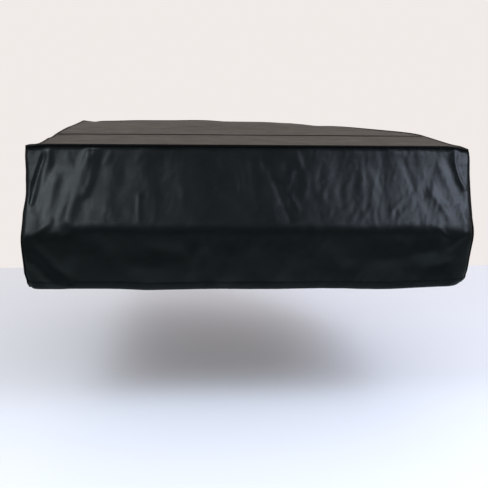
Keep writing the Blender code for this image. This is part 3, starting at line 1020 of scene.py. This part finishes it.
class COVER_OT_piping(bpy.types.Operator):
    """Lay the piping around the top and down the two front corners"""

    bl_idname = "piano_cover.piping"
    bl_label = "Piping"

    def execute(self, context):
        cut = context.scene.cover_cut
        material = piping_material(context)
        outline, _ = rounded_outline(PLAN)
        points = hang(cut, outline[:, 0], outline[:, 1], 0.0)
        top = lay_cord("top_piping_cord", points, cut, True, material)
        dress(top, "piping", "top_piping")
        self.lay_corner(cut, "left_corner", FRONT_LEFT, material)
        self.lay_corner(cut, "right_corner", FRONT_RIGHT, material)
        return {"FINISHED"}

    def lay_corner(self, cut, name, corner, material):
        points = []
        for drop in skirt_drops(cut, 0.5 * cut.piping_radius)[:-2]:
            outline, middles = rounded_outline(plan_corners(cut, drop))
            x, y = outline[middles[corner]]
            points.append(hang(cut, np.array(x), np.array(y), drop))
        cord = lay_cord(name + "_piping_cord", np.array(points), cut, False, material)
        dress(cord, "piping", name + "_piping")


class COVER_OT_stitches(bpy.types.Operator):
    """Sew the hem and the lapped cross seam with rows of thread"""

    bl_idname = "piano_cover.stitches"
    bl_label = "Stitches"

    def execute(self, context):
        cut = context.scene.cover_cut
        thread = context.scene.cover_thread
        for side in ("front", "left_side", "right_side"):
            sheet = bpy.data.objects[side + "_sheet"]
            self.sew(context, side + "_hem_stitches", *line_on(sheet, self.hem_rows(cut, thread, sheet)))
        lapped = bpy.data.objects["top_rear_sheet"]
        places, outs = line_on(lapped, self.lap_rows(cut, thread, lapped))
        self.sew(context, "cross_seam_stitches", places, outs)
        return {"FINISHED"}

    def sew(self, context, name, places, outs):
        row = sew_row(name, context.scene.cover_thread, places, outs, thread_material(context))
        dress(row, "piping")

    def hem_rows(self, cut, thread, sheet):
        """The place of the hem's stitches between the rows of a skirt sheet, the same in each column."""
        drops = skirt_drops(cut, sewn_edge(cut))[::-1]
        wanted = cut.hem_drop - cut.hem_height + thread.inset
        row = np.interp(-wanted, -drops, np.arange(len(drops)))
        return np.full(sheet["columns"], row)

    def lap_rows(self, cut, thread, sheet):
        """The place of the lap's stitches between the rows of the rear sheet, column by column."""
        points, _ = outer_face(sheet)
        wanted = cut.cross_seam_y - cut.lap + thread.inset
        order = np.arange(len(points))
        columns = points[:, :, 1].T
        return np.array([np.interp(-wanted, -column, order) for column in columns])


class COVER_OT_stage(bpy.types.Operator):
    """Set up the floor, the soft lights and the camera"""

    bl_idname = "piano_cover.stage"
    bl_label = "Stage"

    def execute(self, context):
        studio = context.scene.cover_studio
        self.lay_floor(studio)
        self.hang_backdrop(studio)
        self.light_room(context, studio)
        for setting, name, place, size, colour in LIGHTS:
            self.hang_light(name, place, size, getattr(studio, setting), colour)
        self.place_camera(context, studio)
        context.scene.view_settings.view_transform = "Standard"
        return {"FINISHED"}

    def lay_floor(self, studio):
        """A wide pale floor; the cloth mirrors it as if it were dark."""
        deselect_all()
        bpy.ops.mesh.primitive_plane_add(size=FLOOR_WIDTH, location=(0.0, 0.0, -studio.floor_drop))
        floor = bpy.context.object
        floor.name = "floor"
        material, tree, shader = start_material("Pale floor", 0.6, 0.5)
        distance = tree.nodes.new("ShaderNodeVectorMath")
        distance.operation = "LENGTH"
        tree.links.new(tree.nodes.new("ShaderNodeTexCoord").outputs["Object"], distance.inputs["Vector"])
        nearness = tree.nodes.new("ShaderNodeMapRange")
        nearness.inputs["From Min"].default_value, nearness.inputs["From Max"].default_value = MIRRORED_FLOOR
        tree.links.new(distance.outputs["Value"], nearness.inputs["Value"])
        near = nearness.outputs["Result"]
        mirrored = mix_colours(tree, studio.dark_colour, studio.near_floor_colour, near)
        seen = self.seen_or_mirrored(tree, studio.floor_colour, mirrored)
        tree.links.new(seen, shader.inputs["Base Color"])
        floor.data.materials.append(material)

    def hang_backdrop(self, studio):
        """A bright backdrop that meets the floor behind the cover and can't be seen from its back."""
        deselect_all()
        bpy.ops.mesh.primitive_plane_add(size=1.0)
        backdrop = bpy.context.object
        backdrop.name = "backdrop"
        low = -studio.floor_drop
        corners = [(side * BACKDROP_HALF_WIDTH, z) for z in (low, BACKDROP_TOP) for side in (-1.0, 1.0)]
        for vert, (x, z) in zip(backdrop.data.vertices, corners):
            vert.co = (x, studio.backdrop_y, z)
        material, tree, shader = start_material("Bright backdrop", 0.5, 0.0)
        shader.inputs["Base Color"].default_value = (0.0, 0.0, 0.0, 1.0)
        shader.inputs["Emission Strength"].default_value = 1.0
        dimmed = [share * part for share, part in zip(MIRRORED_BACKDROP, studio.backdrop_colour)]
        glow = self.seen_or_mirrored(tree, studio.backdrop_colour, dimmed)
        tree.links.new(glow, shader.inputs["Emission Color"])
        back = tree.nodes.new("ShaderNodeNewGeometry").outputs["Backfacing"]
        tree.links.new(add_math(tree, "SUBTRACT", 1.0, back), shader.inputs["Alpha"])
        backdrop.data.materials.append(material)

    def seen_or_mirrored(self, tree, seen, mirrored):
        """One colour for what is seen directly and another for what the cloth mirrors."""
        glossy = tree.nodes.new("ShaderNodeLightPath").outputs["Is Glossy Ray"]
        return mix_colours(tree, seen, mirrored, glossy)

    def light_room(self, context, studio):
        """Even light from all round; the cloth mirrors a darker room."""
        world = bpy.data.worlds.new("Studio")
        context.scene.world = world
        world.use_nodes = True
        tree = world.node_tree
        way = tree.nodes.new("ShaderNodeSeparateXYZ")
        tree.links.new(tree.nodes.new("ShaderNodeTexCoord").outputs["Generated"], way.inputs["Vector"])
        sideways = add_math(tree, "POWER", add_math(tree, "ABSOLUTE", way.outputs["X"], 0.0), 2.0)
        mirrored = mix_colours(tree, studio.dark_colour, studio.side_colour, sideways)
        colour = self.seen_or_mirrored(tree, studio.backdrop_colour, mirrored)
        tree.links.new(colour, tree.nodes["Background"].inputs["Color"])

    def hang_light(self, name, place, size, power, colour):
        deselect_all()
        bpy.ops.object.light_add(type="AREA", location=place)
        light = bpy.context.object
        light.name = name
        light.data.size = size
        light.data.energy = power
        light.data.color = colour
        light.rotation_euler = (Vector(place) - Vector(LIGHT_AIM)).to_track_quat("Z", "Y").to_euler()

    def place_camera(self, context, studio):
        deselect_all()
        bpy.ops.object.camera_add()
        camera = bpy.context.object
        camera.data.lens = studio.lens
        turned = Matrix.Rotation(studio.yaw, 4, "Z") @ Matrix.Rotation(math.pi / 2.0 - studio.pitch, 4, "X")
        turned = turned @ Matrix.Rotation(studio.roll, 4, "Z")
        camera.matrix_world = Matrix.Translation(studio.camera_place) @ turned
        context.scene.camera = camera


STEPS = (
    ("materials", COVER_OT_materials),
    ("top", COVER_OT_top),
    ("front", COVER_OT_front),
    ("sides", COVER_OT_sides),
    ("piping", COVER_OT_piping),
    ("stitches", COVER_OT_stitches),
    ("stage", COVER_OT_stage),
)


class COVER_PT_sidebar(bpy.types.Panel):
    """Sizes and steps of the piano cover"""

    bl_idname = "COVER_PT_sidebar"
    bl_label = "Piano Cover"
    bl_space_type = "VIEW_3D"
    bl_region_type = "UI"
    bl_category = "Piano Cover"

    def draw(self, context):
        for _, step in STEPS:
            self.layout.operator(step.bl_idname)
        for group in ("cover_cut", "cover_thread", "cover_finish", "cover_studio"):
            settings = getattr(context.scene, group)
            for name in settings.bl_rna.properties.keys():
                if name not in ("rna_type", "name"):
                    self.layout.prop(settings, name)


SETTINGS = (
    ("cover_cut", CoverCut),
    ("cover_thread", CoverThread),
    ("cover_finish", CoverFinish),
    ("cover_studio", CoverStudio),
)


def register():
    for name, group in SETTINGS:
        bpy.utils.register_class(group)
        setattr(bpy.types.Scene, name, PointerProperty(type=group))
    for _, step in STEPS:
        bpy.utils.register_class(step)
    bpy.utils.register_class(COVER_PT_sidebar)


def unregister():
    bpy.utils.unregister_class(COVER_PT_sidebar)
    for _, step in reversed(STEPS):
        bpy.utils.unregister_class(step)
    for name, group in reversed(SETTINGS):
        delattr(bpy.types.Scene, name)
        bpy.utils.unregister_class(group)


def main():
    register()
    for name, _ in STEPS:
        getattr(bpy.ops.piano_cover, name)()


if __name__ == "__main__":
    main()
